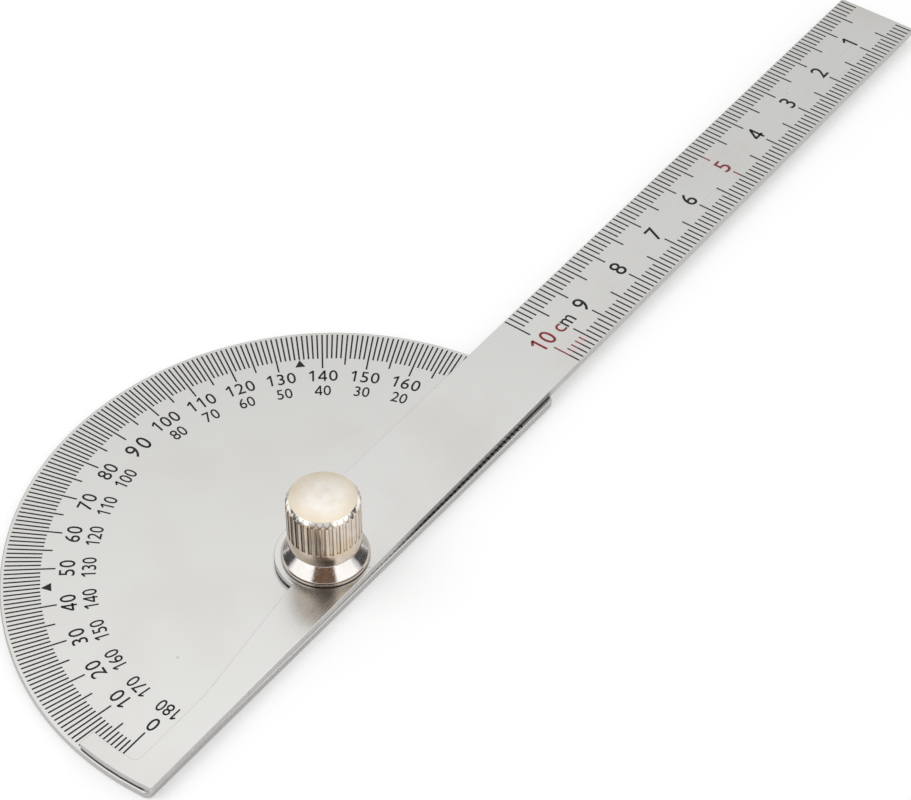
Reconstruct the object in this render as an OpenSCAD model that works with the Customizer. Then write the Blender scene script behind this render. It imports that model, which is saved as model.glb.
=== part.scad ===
// Flat steel goniometer: a half-round scale plate with a ruler arm that turns on it
// and is clamped by a thumb nut. Origin on the pivot axis, at the plate's underside.

/* [Scale plate] */
// Radius of the plate's round edge
plate_r = 45; // [35:1:80]
// Thickness of the plate
plate_t = 1.2; // [1:0.1:2]
// Distance from the pivot down to the plate's straight reference edge
base_drop = 7; // [6:0.5:12]
// Radius of the plate's two corners
plate_corner_r = 1; // [0.5:0.1:3]

/* [Ruler arm] */
// Distance from the pivot to the arm's free end
arm_reach = 152; // [110:1:250]
// Width of the arm
arm_w = 14; // [12.5:0.5:20]
// Thickness of the arm
arm_t = 1.2; // [1:0.1:2]
// Distance from the arm's centre line down to the pivot
arm_offset = 0.25; // [0:0.05:0.5]
// Radius of the two corners at the arm's free end
arm_corner_r = 0.4; // [0.2:0.1:2]
// Angle of the arm to the plate's straight edge, as it is stored
arm_angle = 0.6; // [0:0.1:3]

/* [Arm tail] */
// Width of the tail's strip along the straight edge
tail_w = 4.25; // [3:0.25:6]
// How far the tail's round end stays inside the plate's edge
tail_inset = 0.35; // [0.2:0.05:2]
// Distance from the pivot to where the strip reaches its full taper
tail_taper_x = 28.5; // [20:0.5:32]
// Width of the hook at the tail's end, along the radius
hook_w = 2.5; // [1.5:0.1:4]
// Angle of the hook's tip above the arm's centre line
hook_angle = 7; // [4:0.5:15]
// Radius of the corner inside the hook
hook_corner_r = 1; // [0.5:0.1:1.5]

/* [Pivot stud] */
// Diameter of the shoulder that the arm turns on
shoulder_d = 5; // [4.6:0.1:6]
// Diameter of the threaded end, modelled plain
thread_d = 4; // [3:0.5:4]
// Length of the threaded end
thread_len = 8; // [6:0.5:8]
// Diameter of the head, let into the plate's underside
head_d = 8; // [7:0.5:12]
// Thickness of the head
head_t = 0.5; // [0.3:0.1:0.7]

/* [Flared washer] */
// Diameter of the washer's rim
washer_d = 12.4; // [11:0.2:15]
// Thickness of the rim
rim_t = 0.5; // [0.3:0.1:1]
// Diameter of the neck that the nut stands on
neck_d = 8.6; // [7:0.2:9]
// Height of the whole washer
washer_h = 3.3; // [2.6:0.1:3.8]
// Step from the rim's edge in to the foot of the cone
rim_step = 0.3; // [0.1:0.1:0.6]

/* [Thumb nut] */
// Diameter over the knurl
nut_d = 10.4; // [9:0.2:16]
// Height of the nut
nut_h = 8.4; // [8:0.2:12]
// Height of the plain band under the knurl
band_h = 2.2; // [0.8:0.2:2.4]
// How far the bevelled crown goes in at the top
crown_in = 0.45; // [0.3:0.05:1]
// Height of the bevelled crown
crown_h = 0.65; // [0.4:0.05:1]
// Number of knurled grooves
knurl_count = 32; // [20:2:40]
// Depth of a groove
knurl_depth = 0.25; // [0.15:0.05:0.3]
// Thickness of metal left over the blind hole
nut_roof = 1.8; // [1:0.1:2]

/* [Fits] */
// Air between two flat faces that slide on each other
slide_gap = 0.03; // [0.01:0.01:0.1]
// Radial clearance of the arm on the shoulder
pivot_clearance = 0.03; // [0.01:0.01:0.1]
// Radial clearance of the plain thread in the nut
thread_clearance = 0.05; // [0.01:0.01:0.1]
// Radial clearance of the washer's hole round the thread
washer_clearance = 0.15; // [0.1:0.05:0.3]
// How far the shoulder stops short of the arm's top, so that the nut clamps
shoulder_drop = 0.15; // [0.05:0.05:0.3]

/* [Hidden] */
$fn = 96;

// Spare length of a cutting tool past the face that it cuts
over = 1;

// Heights, from the underside up
arm_z = plate_t + slide_gap;
arm_top = arm_z + arm_t;
washer_z = arm_top + slide_gap;
nut_z = washer_z + washer_h + slide_gap;
shoulder_top = arm_top - shoulder_drop;
stud_top = shoulder_top + thread_len;
nut_top = nut_z + nut_h;

// Outline of the arm, in its own frame before arm_angle turns it
arm_low = arm_offset - arm_w / 2;
arm_high = arm_offset + arm_w / 2;
tail_r = plate_r - tail_inset;
hook_r = tail_r - hook_w;
strip_top = arm_low + tail_w;

shoulder_bore_r = shoulder_d / 2 + pivot_clearance;
washer_bore_r = thread_d / 2 + washer_clearance;
nut_bore_r = thread_d / 2 + thread_clearance;

// X of the point at height y on a circle of radius r about the pivot
function reach_at(r, y) = sqrt(r * r - y * y);

// Everything above a level line, as a flat shape
module above(y, size) {
  translate([-size, y]) square([2 * size, size]);
}

// Rounds the corner between a circle about the pivot and a level line under it;
// side is 1 on the +X side and -1 on the -X side
module round_cut(r, y, corner_r, side) {
  centre_y = y + corner_r;
  centre_x = reach_at(r - corner_r, centre_y);
  touch = r / (r - corner_r);
  corner_x = reach_at(r, y);
  mirror([side < 0 ? 1 : 0, 0])
    polygon([
      [centre_x, centre_y],
      [centre_x * touch, centre_y * touch],
      [corner_x + corner_r, centre_y * touch],
      [corner_x + corner_r, y - corner_r],
      [centre_x, y - corner_r]
    ]);
}

module round_fill(r, y, corner_r, side) {
  centre_y = y + corner_r;
  translate([side * reach_at(r - corner_r, centre_y), centre_y]) circle(corner_r);
}

module plate_outline() {
  difference() {
    intersection() {
      circle(plate_r);
      above(-base_drop, 2 * plate_r);
    }
    for (side = [-1, 1]) round_cut(plate_r, -base_drop, plate_corner_r, side);
  }
  for (side = [-1, 1]) round_fill(plate_r, -base_drop, plate_corner_r, side);
}

module scale_plate() {
  color([0.86, 0.86, 0.85])
    difference() {
      linear_extrude(plate_t) plate_outline();
      translate([0, 0, -over]) cylinder(d = shoulder_d, h = plate_t + 2 * over);
      translate([0, 0, -over]) cylinder(d = head_d, h = head_t + over);
    }
}

// The bar from the pivot to the free end, with its two small corners
module bar_outline() {
  corner_x = arm_reach - arm_corner_r;
  translate([0, arm_low]) square([corner_x, arm_w]);
  translate([0, arm_low + arm_corner_r]) square([arm_reach, arm_w - 2 * arm_corner_r]);
  for (y = [arm_low + arm_corner_r, arm_high - arm_corner_r])
    translate([corner_x, y]) circle(arm_corner_r);
}

// The open space inside the hook, over the strip along the straight edge
module tail_window() {
  difference() {
    intersection() {
      circle(hook_r);
      polygon([
        [-tail_r, strip_top],
        [-tail_taper_x, strip_top],
        [-arm_w / 2, arm_offset],
        [-arm_w / 2, tail_r],
        [-tail_r, tail_r]
      ]);
    }
    round_cut(hook_r, strip_top, hook_corner_r, -1);
  }
  round_fill(hook_r, strip_top, hook_corner_r, -1);
}

// The strip from the hub to the plate's corner, with the hook at its end
module tail_outline() {
  rise = tan(hook_angle);
  difference() {
    intersection() {
      circle(tail_r);
      polygon([
        [over, arm_low],
        [-2 * tail_r, arm_low],
        [-2 * tail_r, 2 * tail_r * rise],
        [-tail_taper_x, tail_taper_x * rise],
        [-arm_w / 2, arm_offset],
        [over, arm_offset]
      ]);
    }
    tail_window();
  }
}

module arm_outline() {
  translate([0, arm_offset]) circle(arm_w / 2);
  bar_outline();
  tail_outline();
}

module ruler_arm() {
  color([0.80, 0.80, 0.79])
    difference() {
      translate([0, 0, arm_z])
        rotate(arm_angle)
          linear_extrude(arm_t) arm_outline();
      translate([0, 0, arm_z - over]) cylinder(r = shoulder_bore_r, h = arm_t + 2 * over);
    }
}

module pivot_stud() {
  color([0.72, 0.72, 0.71]) {
    cylinder(d = head_d, h = head_t);
    cylinder(d = shoulder_d, h = shoulder_top);
    cylinder(d = thread_d, h = stud_top);
  }
}

module flared_washer() {
  rim_r = washer_d / 2;
  foot_r = rim_r - rim_step;
  neck_r = neck_d / 2;
  cone_h = foot_r - neck_r;
  color([0.78, 0.76, 0.73])
    translate([0, 0, washer_z])
      rotate_extrude()
        polygon([
          [washer_bore_r, 0],
          [rim_r, 0],
          [rim_r, rim_t],
          [foot_r, rim_t],
          [neck_r, rim_t + cone_h],
          [neck_r, washer_h],
          [washer_bore_r, washer_h]
        ]);
}

module knurl_grooves() {
  groove_side = 2 * knurl_depth;
  knurl_h = nut_h - band_h;
  for (i = [0 : knurl_count - 1])
    rotate(i * 360 / knurl_count)
      translate([nut_d / 2 + knurl_depth * (sqrt(2) - 1), 0, band_h])
        rotate(45)
          translate([-groove_side / 2, -groove_side / 2, 0])
            cube([groove_side, groove_side, knurl_h]);
}

module nut_body() {
  nut_r = nut_d / 2;
  rotate_extrude()
    polygon([
      [0, 0],
      [nut_r, 0],
      [nut_r, nut_h - crown_h],
      [nut_r - crown_in, nut_h],
      [0, nut_h]
    ]);
}

module thumb_nut() {
  color([0.83, 0.77, 0.68])
    translate([0, 0, nut_z])
      difference() {
        nut_body();
        knurl_grooves();
        translate([0, 0, -over]) cylinder(r = nut_bore_r, h = nut_h - nut_roof + over);
      }
}

scale_plate();
pivot_stud();
ruler_arm();
flared_washer();
thumb_nut();
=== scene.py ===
# %% [markdown]
# # A steel goniometer
#
# The object is a workshop goniometer: a half-round steel plate with a degree scale, a steel
# ruler arm that turns on it, and a knurled thumb nut that clamps the two together. Its solids
# come from the CAD model, already at their true size and place. This lesson adds what a solid
# can't show: eased edges, printed scales, brushed steel, nickel plate and a studio's light.
#
# The first step loads the solids. Everything after it is in metres, in the solids' own frame:
# the origin is on the pivot, at the plate's underside, and Z points up through the nut.

# %% Load the frame
import math

import bpy
from mathutils import Matrix, Vector
from mathutils.bvhtree import BVHTree


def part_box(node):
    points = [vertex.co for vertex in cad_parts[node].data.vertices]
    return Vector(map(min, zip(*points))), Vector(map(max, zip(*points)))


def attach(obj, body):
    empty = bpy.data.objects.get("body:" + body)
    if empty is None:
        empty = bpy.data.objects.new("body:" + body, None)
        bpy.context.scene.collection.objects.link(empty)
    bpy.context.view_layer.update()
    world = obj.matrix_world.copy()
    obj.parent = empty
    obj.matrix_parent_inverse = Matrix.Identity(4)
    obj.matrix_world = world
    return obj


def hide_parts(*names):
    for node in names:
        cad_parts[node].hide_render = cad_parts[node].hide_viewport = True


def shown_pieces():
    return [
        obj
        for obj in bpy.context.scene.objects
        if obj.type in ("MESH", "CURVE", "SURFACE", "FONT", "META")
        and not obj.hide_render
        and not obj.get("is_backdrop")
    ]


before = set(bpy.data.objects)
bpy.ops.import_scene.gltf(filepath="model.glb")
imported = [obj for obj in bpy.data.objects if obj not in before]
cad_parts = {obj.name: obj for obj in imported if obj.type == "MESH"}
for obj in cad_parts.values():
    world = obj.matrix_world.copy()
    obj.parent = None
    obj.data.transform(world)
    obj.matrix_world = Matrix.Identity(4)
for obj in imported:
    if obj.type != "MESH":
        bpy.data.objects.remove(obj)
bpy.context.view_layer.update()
print("CAD nodes:", ", ".join(sorted(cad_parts)))

# %% [markdown]
# ## Sizes to work from
#
# Sizes are read off the solids wherever they can be, so that the looks follow the CAD model.
# Only the arm's stored angle and what has no solid, such as the length of a printed mark, are
# numbers of their own here.

# %% Sizes read from the solids
MM = 0.001
plate_low, plate_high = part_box("scale_plate")
arm_low, arm_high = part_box("ruler_arm")
nut_low, nut_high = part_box("thumb_nut")
washer_low, washer_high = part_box("flared_washer")
PLATE_TOP = plate_high.z
PLATE_R = plate_high.y
BASE_EDGE_Y = plate_low.y
ARM_TOP = arm_high.z
NUT_TOP = nut_high.z
NUT_R = nut_high.x
ARM_ANGLE = math.radians(0.6)
print("plate radius", round(PLATE_R, 4), "plate top", round(PLATE_TOP, 5), "arm top", round(ARM_TOP, 5))

# %% [markdown]
# ## Points seen in the photograph
#
# These are places in the photograph's frame, 911 wide and 800 high, counted from its top left
# corner. The four edges say where the object ends, and each other point is the middle of one
# small feature. They set the camera, and later they say where the printed features lie.

# %% Image points
PHOTO_W = 911
PHOTO_H = 800
POINTS = {
    "number_0": (149.5, 723.0),
    "number_50": (65.5, 568.0),
    "number_90": (139.5, 446.0),
    "number_140": (322.0, 377.0),
    "inner_number_130": (88.0, 567.0),
    "inner_number_40": (323.0, 391.0),
    "arrow_45": (47.0, 588.0),
    "arrow_135": (300.0, 363.0),
    "ruler_number_9": (580.0, 304.0),
    "ruler_number_4": (757.0, 135.0),
    "ruler_number_1": (849.0, 42.0),
    "ruler_unit": (565.0, 323.5),
    "nut_top": (326.6, 499.0),
}

# %% [markdown]
# ## The camera
#
# The photograph was taken with a long lens from the lower left, some 38 centimetres away and
# 46 degrees above the bench. The place and the lens come from matching the printed marks, whose
# spacing is known, so the camera needs no shift: it is only aimed and turned by a small roll.

# %% Camera
CAMERA_PLACE = Vector((-0.17370, -0.15283, 0.27220))
CAMERA_AIM = Vector((0.03635, 0.00503, 0.0))
CAMERA_ROLL = math.radians(0.40)
CAMERA_LENS = 101.15

camera_data = bpy.data.cameras.new("camera")
camera_data.lens = CAMERA_LENS
camera_data.sensor_fit = "AUTO"
camera_data.clip_start = 0.01
camera_data.clip_end = 20
camera = bpy.data.objects.new("camera", camera_data)
bpy.context.scene.collection.objects.link(camera)
camera.location = CAMERA_PLACE
aimed = (CAMERA_AIM - CAMERA_PLACE).to_track_quat("-Z", "Y").to_matrix()
camera.rotation_euler = (aimed @ Matrix.Rotation(CAMERA_ROLL, 3, "Z")).to_euler()
bpy.context.scene.camera = camera
bpy.context.view_layer.update()
print("camera", round((CAMERA_AIM - CAMERA_PLACE).length, 3), "m from its aim")

# %% [markdown]
# ## From the photograph to a surface
#
# A point in the photograph is a ray from the camera. Where the ray meets a surface is the place
# of what is seen there. A BVH tree is a fast lookup of a mesh's faces, and it answers both
# questions that are needed: where a ray hits, and which place on the mesh is nearest.

# %% Rays and trees
LONG_SIDE = max(PHOTO_W, PHOTO_H)
SEARCH_FROM = 0.2
SEARCH_STEP = 0.001
SEARCH_STEPS = 300


def photo_ray(x, y):
    """The way a camera ray runs through a point of the photograph, in the frame's axes."""
    local = Vector((
        x - PHOTO_W / 2 + camera_data.shift_x * LONG_SIDE,
        PHOTO_H / 2 - y + camera_data.shift_y * LONG_SIDE,
        -LONG_SIDE * camera_data.lens / camera_data.sensor_width,
    ))
    return (camera.matrix_world.to_3x3() @ local).normalized()


def tree_of(piece):
    """A lookup of a finished piece's faces."""
    corners = [piece.matrix_world @ v.co for v in piece.data.vertices]
    faces = [tuple(p.vertices) for p in piece.data.polygons]
    return BVHTree.FromPolygons(corners, faces)


def seen_place(name, tree):
    """Where the named image point lies on a surface, or the nearest place to its ray."""
    way = photo_ray(*POINTS[name])
    hit = tree.ray_cast(CAMERA_PLACE, way)[0]
    if hit is not None:
        return hit
    steps = [CAMERA_PLACE + way * (SEARCH_FROM + SEARCH_STEP * i) for i in range(SEARCH_STEPS)]
    return min((tree.find_nearest(p) for p in steps), key=lambda found: found[3])[0]


def photo_point(place):
    """Where a place in the frame shows in the photograph."""
    local = camera.matrix_world.inverted() @ Vector(place)
    scale = -LONG_SIDE * camera_data.lens / camera_data.sensor_width / local.z
    x = local.x * scale + PHOTO_W / 2 - camera_data.shift_x * LONG_SIDE
    y = PHOTO_H / 2 - local.y * scale + camera_data.shift_y * LONG_SIDE
    return x, y


pivot_x, pivot_y = photo_point((0, 0, PLATE_TOP))
print("the pivot shows at", round(pivot_x, 1), round(pivot_y, 1))

# %% [markdown]
# ## Working copies with eased edges
#
# No edge of a real sheet is perfectly sharp, and its thin round catches the light. A CAD solid
# can't be changed here, so each piece is a copy of its solid: its loose triangles are merged,
# flat faces are cleared of their inner edges, and the sharp edges get a small bevel. Smooth
# shading alone would bend the light on the flats, because a corner's normal is a mean of the
# faces round it. So the wide flats are marked as strong: where one meets a bevel it alone sets
# the normal. The copy then stands for the solid, which stays hidden for collision.

# %% Helpers for modelling
SAME = 0.001 * MM
MERGE = 0.002 * MM
FLAT_TURN = math.radians(0.4)
SHARP_TURN = math.radians(28)
LEVEL = 0.99


def set_mode(mode):
    bpy.ops.object.mode_set(mode=mode)


def deselect_all():
    """Operators act on all that is selected, so every step starts from nothing."""
    if bpy.context.object is not None and bpy.context.object.mode != "OBJECT":
        set_mode("OBJECT")
    bpy.ops.object.select_all(action="DESELECT")


def edit_only(piece):
    """Makes one piece the active, selected one."""
    deselect_all()
    bpy.context.view_layer.objects.active = piece
    piece.select_set(True)


def just_made(name):
    """Names the piece that was just made, and its mesh."""
    piece = bpy.context.object
    piece.name = piece.data.name = name
    return piece


def open_whole(piece):
    """Opens one piece for editing with all of it selected."""
    edit_only(piece)
    set_mode("EDIT")
    bpy.ops.mesh.select_all(action="SELECT")


def close_outward():
    """Turns every face of the open piece outwards and closes it."""
    bpy.ops.mesh.select_all(action="SELECT")
    bpy.ops.mesh.normals_make_consistent(inside=False)
    set_mode("OBJECT")


def select_where(piece, kind, wanted):
    """Opens a piece with just the wanted corners, edges or faces selected."""
    edit_only(piece)
    set_mode("EDIT")
    bpy.ops.mesh.select_mode(type=kind)
    bpy.ops.mesh.select_all(action="DESELECT")
    set_mode("OBJECT")
    mesh = piece.data
    for part in {"VERT": mesh.vertices, "EDGE": mesh.edges, "FACE": mesh.polygons}[kind]:
        part.select = wanted(part)
    set_mode("EDIT")


def extrude_up(rise):
    bpy.ops.mesh.extrude_region_move(TRANSFORM_OT_translate={"value": (0, 0, rise)})


def bevel_selected(width, segments):
    """Bevels the selected edges and marks how much each face counts for the normals."""
    bpy.ops.mesh.bevel(
        offset=width, segments=segments, affect="EDGES", clamp_overlap=True, face_strength_mode="ALL",
    )


def apply_place():
    bpy.ops.object.transform_apply(location=True, rotation=True, scale=True)


def is_wide_flat(face):
    return abs(face.normal.z) > LEVEL and face.area > MM * MM


def refill_flats(piece):
    """Clears the wide level faces and fills their outlines again, holes and all."""
    levels = sorted({round(f.center.z / MM, 2) for f in piece.data.polygons if is_wide_flat(f)})
    select_where(piece, "FACE", is_wide_flat)
    bpy.ops.mesh.delete(type="FACE")
    for level in levels:
        bpy.ops.mesh.select_mode(type="EDGE")
        bpy.ops.mesh.select_all(action="DESELECT")
        bpy.ops.mesh.select_non_manifold()
        set_mode("OBJECT")
        points = piece.data.vertices
        for edge in piece.data.edges:
            heights = [points[i].co.z / MM for i in edge.vertices]
            edge.select = edge.select and max(abs(h - level) for h in heights) < 0.01
        for point in points:
            point.select = False
        set_mode("EDIT")
        bpy.ops.mesh.fill(use_beauty=True)
        bpy.ops.mesh.mod_weighted_strength(set=True, face_strength="STRONG")
    close_outward()


def smooth_round(piece, sharp_angle):
    """Smooth bevels between flats that stay flat, with creases above an angle in degrees."""
    edit_only(piece)
    bpy.ops.object.shade_smooth_by_angle(angle=math.radians(sharp_angle))
    weigh = piece.modifiers.new("weigh_normals", "WEIGHTED_NORMAL")
    weigh.mode = "CORNER_ANGLE"
    weigh.use_face_influence = True
    weigh.keep_sharp = True
    bpy.ops.object.modifier_apply(modifier=weigh.name)


def eased_copy(node, name, ease, segments):
    """A copy of a CAD node with clean flats and rounded sharp edges."""
    piece = bpy.data.objects.new(name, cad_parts[node].data.copy())
    bpy.context.scene.collection.objects.link(piece)
    piece.data.name = name
    piece.data.materials.clear()
    edit_only(piece)
    set_mode("EDIT")
    bpy.ops.mesh.select_mode(type="EDGE")
    bpy.ops.mesh.select_all(action="SELECT")
    bpy.ops.mesh.remove_doubles(threshold=MERGE)
    bpy.ops.mesh.dissolve_limited(angle_limit=FLAT_TURN)
    bpy.ops.mesh.select_all(action="DESELECT")
    bpy.ops.mesh.edges_select_sharp(sharpness=SHARP_TURN)
    bevel_selected(ease, segments)
    set_mode("OBJECT")
    refill_flats(piece)
    smooth_round(piece, 50)
    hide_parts(node)
    return piece

# %% The two sheets and the washer
PLATE_EASE = 0.20 * MM
ARM_EASE = 0.10 * MM
WASHER_EASE = 0.07 * MM
plate = eased_copy("scale_plate", "plate_sheet", PLATE_EASE, 3)
arm = eased_copy("ruler_arm", "arm_sheet", ARM_EASE, 3)
washer = eased_copy("flared_washer", "washer_turned", WASHER_EASE, 2)
for piece in (plate, arm, washer):
    print(piece.name, len(piece.data.vertices), "vertices", len(piece.data.polygons), "faces")

# %% [markdown]
# ## The thumb nut
#
# The nut's grooves are wide and shallow, with rounded corners, and where they run out into the
# bevelled crown they end in small arches. The solid has plain V grooves, so the nut is modelled
# anew in the same space. A cylinder with twelve sides to a groove is extruded up in rings: plain
# band, knurl and crown. Then every corner that belongs to a groove is drawn in towards the
# axis, by twelve shares that draw one groove's section, and on the crown's ring it is also
# lifted, as far as the cone of the crown asks. The blind hole is an inset, pushed up.

# %% Knurled nut
GROOVES = 32
GROOVE_SHARES = (0, 0, 0, 0.60, 0.92, 1.0, 1.0, 1.0, 0.92, 0.60, 0, 0)
GROOVE_DEPTH = 0.16 * MM
BAND_TOP = nut_low.z + 2.0 * MM
RUN_OUT = 0.10 * MM
CROWN_IN = 0.52 * MM
CROWN_H = 0.85 * MM
CROWN_FOOT = NUT_TOP - CROWN_H
HOLE_R = 2.05 * MM
HOLE_DEEP = 6.6 * MM
SIDES = GROOVES * len(GROOVE_SHARES)

deselect_all()
bpy.ops.mesh.primitive_cylinder_add(
    vertices=SIDES, radius=NUT_R, depth=BAND_TOP - nut_low.z,
    location=(0, 0, (BAND_TOP + nut_low.z) / 2),
)
nut = just_made("nut_knurled")
apply_place()


def closing_face_at(height):
    """A test for the one many-sided face that closes the nut at a height."""
    return lambda face: len(face.vertices) > 4 and abs(face.center.z - height) < SAME


select_where(nut, "FACE", closing_face_at(BAND_TOP))
for rise in (RUN_OUT, CROWN_FOOT - BAND_TOP - RUN_OUT, CROWN_H):
    extrude_up(rise)
crown_scale = 1 - CROWN_IN / NUT_R
bpy.ops.transform.resize(value=(crown_scale, crown_scale, 1), center_override=(0, 0, NUT_TOP))
select_where(nut, "FACE", closing_face_at(nut_low.z))
bpy.ops.mesh.inset(thickness=NUT_R - HOLE_R)
extrude_up(HOLE_DEEP)
set_mode("OBJECT")
print("nut blank:", len(nut.data.polygons), "faces")

# %% Grooves pressed in
RIM_EASE = 0.07 * MM
GROOVE_EASE = 0.02 * MM
GROOVE_SHARP = math.radians(32)


def groove_corners(share, height):
    """A test for the corners of one share, on the ring at a height."""
    def wanted(corner):
        turn = math.atan2(corner.co.y, corner.co.x) / (2 * math.pi) * SIDES
        on_ring = abs(corner.co.z - height) < SAME and corner.co.xy.length > NUT_R - 0.01 * MM
        return on_ring and GROOVE_SHARES[round(turn) % len(GROOVE_SHARES)] == share
    return wanted


def is_rim(edge):
    """Whether an edge runs round the nut's outside at its very top or foot."""
    ends = [nut.data.vertices[i].co for i in edge.vertices]
    level = abs(ends[0].z - ends[1].z) < SAME
    outer = ends[0].xy.length > 4 * MM
    return level and outer and min(abs(ends[0].z - NUT_TOP), abs(ends[0].z - nut_low.z)) < SAME


for share in sorted(set(GROOVE_SHARES) - {0}):
    pull = 1 - GROOVE_DEPTH * share / NUT_R
    select_where(nut, "VERT", groove_corners(share, BAND_TOP + RUN_OUT))
    bpy.ops.transform.resize(value=(pull, pull, 1), center_override=(0, 0, BAND_TOP))
    select_where(nut, "VERT", groove_corners(share, CROWN_FOOT))
    bpy.ops.transform.resize(value=(pull, pull, 1), center_override=(0, 0, CROWN_FOOT))
    bpy.ops.transform.translate(value=(0, 0, GROOVE_DEPTH * share * CROWN_H / CROWN_IN))
close_outward()
select_where(nut, "EDGE", is_rim)
bevel_selected(RIM_EASE, 3)
bpy.ops.mesh.select_all(action="DESELECT")
bpy.ops.mesh.edges_select_sharp(sharpness=GROOVE_SHARP)
bevel_selected(GROOVE_EASE, 1)
set_mode("OBJECT")
smooth_round(nut, 30)
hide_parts("thumb_nut")
print("nut:", len(nut.data.polygons), "faces")

# %% [markdown]
# ## The stud and its thread
#
# The solid has a plain stud, because a true thread would make it heavy to test. It is modelled
# here instead. The head and the shoulder are an eased copy, cut off above the shoulder. The
# thread is one V of its flank, wound up by a Screw modifier with the lead of an M4 thread,
# 0.7 mm a turn, and trimmed flat at both ends.

# %% Stud
STUD_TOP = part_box("pivot_stud")[1].z
THREAD_LEAD = 0.7 * MM
THREAD_ROOT_R = 1.62 * MM
THREAD_CREST_R = 1.97 * MM
THREAD_TURNS = 14
THREAD_STEPS = 40
NECK_TOP = ARM_TOP + 0.1 * MM
STUD_EASE = 0.1 * MM


def trim(piece, height, keep_below):
    """Cuts a piece level at a height and closes the cut."""
    open_whole(piece)
    bpy.ops.mesh.bisect(
        plane_co=(0, 0, height), plane_no=(0, 0, 1), use_fill=True,
        clear_outer=keep_below, clear_inner=not keep_below,
    )
    set_mode("OBJECT")


stud = eased_copy("pivot_stud", "stud_turned", STUD_EASE, 2)
trim(stud, NECK_TOP, True)

deselect_all()
bpy.ops.mesh.primitive_circle_add(vertices=4, radius=THREAD_LEAD / 2, rotation=(math.pi / 2, 0, 0))
thread = just_made("thread")
apply_place()
set_mode("EDIT")
bpy.ops.mesh.select_all(action="DESELECT")
set_mode("OBJECT")
for v in thread.data.vertices:
    v.select = v.co.x < -THREAD_LEAD / 4
set_mode("EDIT")
bpy.ops.mesh.delete(type="VERT")
bpy.ops.mesh.select_all(action="SELECT")
flank_depth = THREAD_CREST_R - THREAD_ROOT_R
bpy.ops.transform.resize(value=(flank_depth / (THREAD_LEAD / 2), 1, 1))
bpy.ops.transform.translate(value=(THREAD_ROOT_R, 0, NECK_TOP - THREAD_LEAD))
set_mode("OBJECT")
apply_place()
wind = thread.modifiers.new("wind", "SCREW")
wind.screw_offset = THREAD_LEAD
wind.iterations = THREAD_TURNS
wind.steps = THREAD_STEPS
wind.render_steps = THREAD_STEPS
wind.use_merge_vertices = True
wind.merge_threshold = SAME
bpy.ops.object.modifier_apply(modifier=wind.name)
trim(thread, NECK_TOP - 0.05 * MM, False)
trim(thread, STUD_TOP, True)
open_whole(thread)
bpy.ops.mesh.remove_doubles(threshold=SAME)
close_outward()
deselect_all()
thread.select_set(True)
stud.select_set(True)
bpy.context.view_layer.objects.active = stud
bpy.ops.object.join()
stud_top = max(v.co.z for v in stud.data.vertices)
print("stud:", len(stud.data.polygons), "faces, thread up to", round(stud_top / MM, 2), "mm")

# %% [markdown]
# ## Printed marks
#
# The scales are a thin film of ink on the steel, made as meshes, which stay crisp at any size.
# One mark is modelled as a small bar of ink, a hundredth of a millimetre thick, with a top that
# draws in a little. Every other mark is a copy, stretched to its length and turned to its place.

# %% One bar of ink
INK_T = 0.01 * MM
TICK_W = 0.25 * MM
RULER_TICK_W = 0.28 * MM
EDGE_TICK_W = 0.3 * MM
TOP_LONG = 0.96
TOP_WIDE = 0.99

deselect_all()
bpy.ops.mesh.primitive_plane_add(size=1)
ink_bar = just_made("ink_bar")
open_whole(ink_bar)
extrude_up(1)
bpy.ops.transform.resize(value=(TOP_LONG, TOP_WIDE, 1))
close_outward()


def stamp(source, placing):
    """A copy of a piece of ink with its own mesh, laid at its place."""
    copy = source.copy()
    copy.data = source.data.copy()
    copy.data.transform(placing)
    bpy.context.scene.collection.objects.link(copy)
    return copy


def joined(parts, name):
    """Many small parts as one named piece, at the origin."""
    deselect_all()
    for part in parts:
        part.select_set(True)
    bpy.context.view_layer.objects.active = parts[0]
    bpy.ops.object.join()
    return just_made(name)


def ink_places(parts):
    """The corners of some printed parts."""
    return [v.co.copy() for part in parts for v in part.data.vertices]


def radial_mark(angle, inner_r, outer_r, width, height):
    """Places the bar along a radius of the degree scale; 0 degrees points to -X."""
    middle = (inner_r + outer_r) / 2
    turn = Matrix.Rotation(-angle, 4, "Z")
    size = Matrix.Diagonal((outer_r - inner_r, width, INK_T, 1))
    return turn @ Matrix.Translation((-middle, 0, height)) @ size


def straight_mark(x, low, high, width, height, turn=0.0):
    """Places the bar across a straight scale, from low to high in Y."""
    size = Matrix.Diagonal((width, high - low, INK_T, 1))
    place = Matrix.Translation((x, (low + high) / 2, height))
    return Matrix.Rotation(turn, 4, "Z") @ place @ size


print("one mark has", len(ink_bar.data.polygons), "faces")

# %% [markdown]
# ## The degree scale
#
# The scale runs right round the half circle, one mark a degree. Every fifth mark is longer and
# every tenth longer still. All marks end on one circle just inside the rim. At 45 and 135
# degrees the mark is a short one, with a small solid arrow that points outwards at its foot,
# modelled once as a triangle and made thick.

# %% Degree marks
MARK_OUTER_R = PLATE_R - 0.55 * MM
MARK_INNER_R = PLATE_R - 5.6 * MM
FIFTH_INNER_R = PLATE_R - 6.9 * MM
TENTH_INNER_R = PLATE_R - 7.65 * MM
ARROWS = (45, 135)

degree_parts = []
for degree in range(181):
    inner = MARK_INNER_R
    if degree % 5 == 0 and degree not in ARROWS:
        inner = FIFTH_INNER_R
    if degree % 10 == 0:
        inner = TENTH_INNER_R
    placing = radial_mark(math.radians(degree), inner, MARK_OUTER_R, TICK_W, PLATE_TOP)
    degree_parts.append(stamp(ink_bar, placing))
degree_marks = joined(degree_parts, "degree_marks")
print("degree scale:", len(degree_marks.data.polygons), "faces")

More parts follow.
